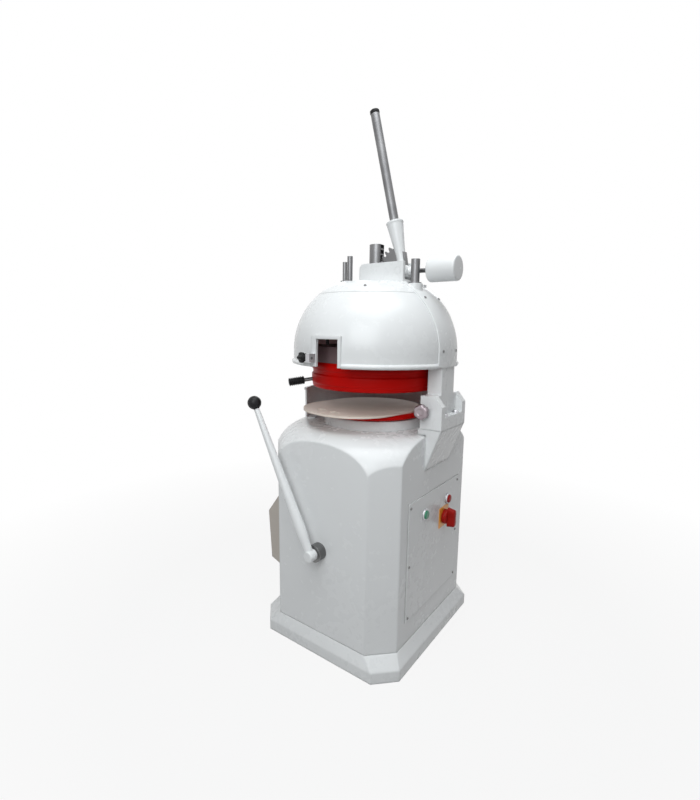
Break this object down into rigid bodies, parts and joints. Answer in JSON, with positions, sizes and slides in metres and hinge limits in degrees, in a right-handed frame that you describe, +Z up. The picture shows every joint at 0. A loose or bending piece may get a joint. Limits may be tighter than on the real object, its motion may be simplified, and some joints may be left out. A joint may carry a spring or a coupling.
{
  "type": "dough divider rounder",
  "caption": "Floor-standing bakery dough divider and rounder with a cabinet, an orbiting rounding table, a domed lever-pressed dividing head, knives, stamps and side controls.",
  "frame": {"origin": "centre of the base's underside, on the floor", "axes": "+Z up, -Y to the front with the rounding lever, +X to the right side with the control panel and neck"},
  "size_m": [0.7105, 0.7603, 1.971],
  "materials": {
    "white_paint": "gloss",
    "steel": "satin",
    "red_plastic": "gloss",
    "cream_plastic": "matt",
    "black_plastic": "satin",
    "beige_paint": "satin",
    "green_plastic": "gloss",
    "yellow_plastic": "satin",
    "grey_casting": "matt",
    "bronze": "satin",
    "belt_rubber": "matt",
    "white_plastic": "satin"
  },
  "bodies": {
    "frame": {"base_plinth": "white_paint", "cabinet": "white_paint", "arm_corbel": "white_paint", "table_guard": "white_paint", "deck_collar": "white_paint", "drive_housing": "grey_casting", "shaft_bushes": "bronze", "motor": "grey_casting", "motor_bracket": "steel", "drive_belt": "belt_rubber", "contactor_box": "black_plastic", "shaft_pedestal": "grey_casting", "lever_boss": "steel", "control_panel": "white_paint", "cover_screws": "steel", "switch_plate": "yellow_plastic", "button_bezels": "steel", "left_hood": "beige_paint", "head_arm": "white_paint", "foot_bolts": "steel", "dome_cover": "white_paint", "setting_block": "steel", "pivot_bracket": "white_paint", "pivot_pin": "steel", "guide_bushes": "steel"},
    "press_lever": {"lever_casting": "white_paint", "toothed_sector": "steel", "lever_rod": "steel", "lever_cap": "black_plastic", "balance_rod": "steel", "counterweight": "white_paint"},
    "press": {"press_spindle": "steel", "press_head": "steel", "press_stamps": "white_plastic"},
    "ring": {"ring_carrier": "steel", "dividing_ring": "red_plastic", "guide_posts": "steel", "ring_stud": "steel", "ring_grip": "black_plastic"},
    "knives": {"knife_carrier": "steel", "knife_grid": "steel", "knife_rods": "steel"},
    "round_lever": {"rounding_lever": "white_paint", "lever_ball": "black_plastic", "rounding_shaft": "steel", "lift_cam": "steel"},
    "lift": {"thrust_pad": "steel"},
    "eccentric": {"eccentric_shaft": "steel", "driven_pulley": "grey_casting", "balance_weight": "grey_casting"},
    "table": {"table_hub": "steel", "table_disc": "red_plastic"},
    "plate": {"moulding_plate": "cream_plastic"},
    "rotor": {"motor_pulley": "grey_casting"},
    "green_key": {"green_button": "green_plastic"},
    "red_key": {"red_button": "red_plastic"},
    "main_switch": {"switch_knob": "red_plastic"},
    "setting": {"setting_screw": "steel", "star_knob": "black_plastic"},
    "clamp": {"foot_knob": "steel"}
  },
  "joints": [
    {"name": "press_pivot", "type": "hinge", "parent": "frame", "child": "press_lever", "pos_m": [0.119, 0, 1.39], "axis": [0, -1, 0], "range_deg": [0, 52], "stiffness_Nm_per_rad": 60, "springref_deg": -91.67},
    {"name": "press_slide", "type": "slide", "parent": "frame", "child": "press", "axis": [0, 0, -1], "range_m": [0, 0.0912]},
    {"name": "ring_slide", "type": "slide", "parent": "frame", "child": "ring", "axis": [0, 0, -1], "range_m": [0, 0.0663]},
    {"name": "knife_slide", "type": "slide", "parent": "ring", "child": "knives", "axis": [0, 0, -1], "range_m": [0, 0.038], "stiffness_N_per_m": 2500, "springref_m": -0.07},
    {"name": "round_pivot", "type": "hinge", "parent": "frame", "child": "round_lever", "pos_m": [0, -0.3833, 0.4], "axis": [0, 1, 0], "range_deg": [0, 54]},
    {"name": "table_lift", "type": "slide", "parent": "frame", "child": "lift", "axis": [0, 0, 1], "range_m": [0, 0.0052]},
    {"name": "eccentric_spin", "type": "hinge", "parent": "lift", "child": "eccentric", "pos_m": [0, 0, 0.6], "axis": [0, 0, 1], "continuous": true},
    {"name": "table_counter", "type": "hinge", "parent": "eccentric", "child": "table", "pos_m": [0, -0.012, 0.85], "axis": [0, 0, 1], "continuous": true},
    {"name": "plate_slide", "type": "slide", "parent": "table", "child": "plate", "axis": [0.1736, -0.9848, 0], "range_m": [0, 0.15]},
    {"name": "motor_spin", "type": "hinge", "parent": "frame", "child": "rotor", "pos_m": [-0.225, -0.1, 0.45], "axis": [0, 0, 1], "continuous": true},
    {"name": "green_push", "type": "slide", "parent": "frame", "child": "green_key", "axis": [-1, 0, 0], "range_m": [0, 0.004], "stiffness_N_per_m": 1200, "springref_m": -0.002},
    {"name": "red_push", "type": "slide", "parent": "frame", "child": "red_key", "axis": [-1, 0, 0], "range_m": [0, 0.004], "stiffness_N_per_m": 1200, "springref_m": -0.002},
    {"name": "switch_turn", "type": "hinge", "parent": "frame", "child": "main_switch", "pos_m": [0.29, 0.073, 0.468], "axis": [1, 0, 0], "range_deg": [0, 90]},
    {"name": "setting_turn", "type": "hinge", "parent": "frame", "child": "setting", "pos_m": [-0.04412, -0.33511, 1.083], "axis": [-0.9914, 0.1305, 0], "continuous": true},
    {"name": "clamp_turn", "type": "hinge", "parent": "frame", "child": "clamp", "pos_m": [0.275, -0.11, 0.905], "axis": [0, -1, 0], "continuous": true}
  ],
  "couplings": [
    {"joint": "press_slide", "follows": "press_pivot", "m_per_rad": 0.1},
    {"joint": "ring_slide", "follows": "press_pivot", "m_per_rad": 0.072722},
    {"joint": "table_lift", "follows": "round_pivot", "m_per_rad": 0.0053052},
    {"joint": "table_counter", "follows": "eccentric_spin", "ratio": -1},
    {"joint": "motor_spin", "follows": "eccentric_spin", "ratio": 2.5}
  ]
}
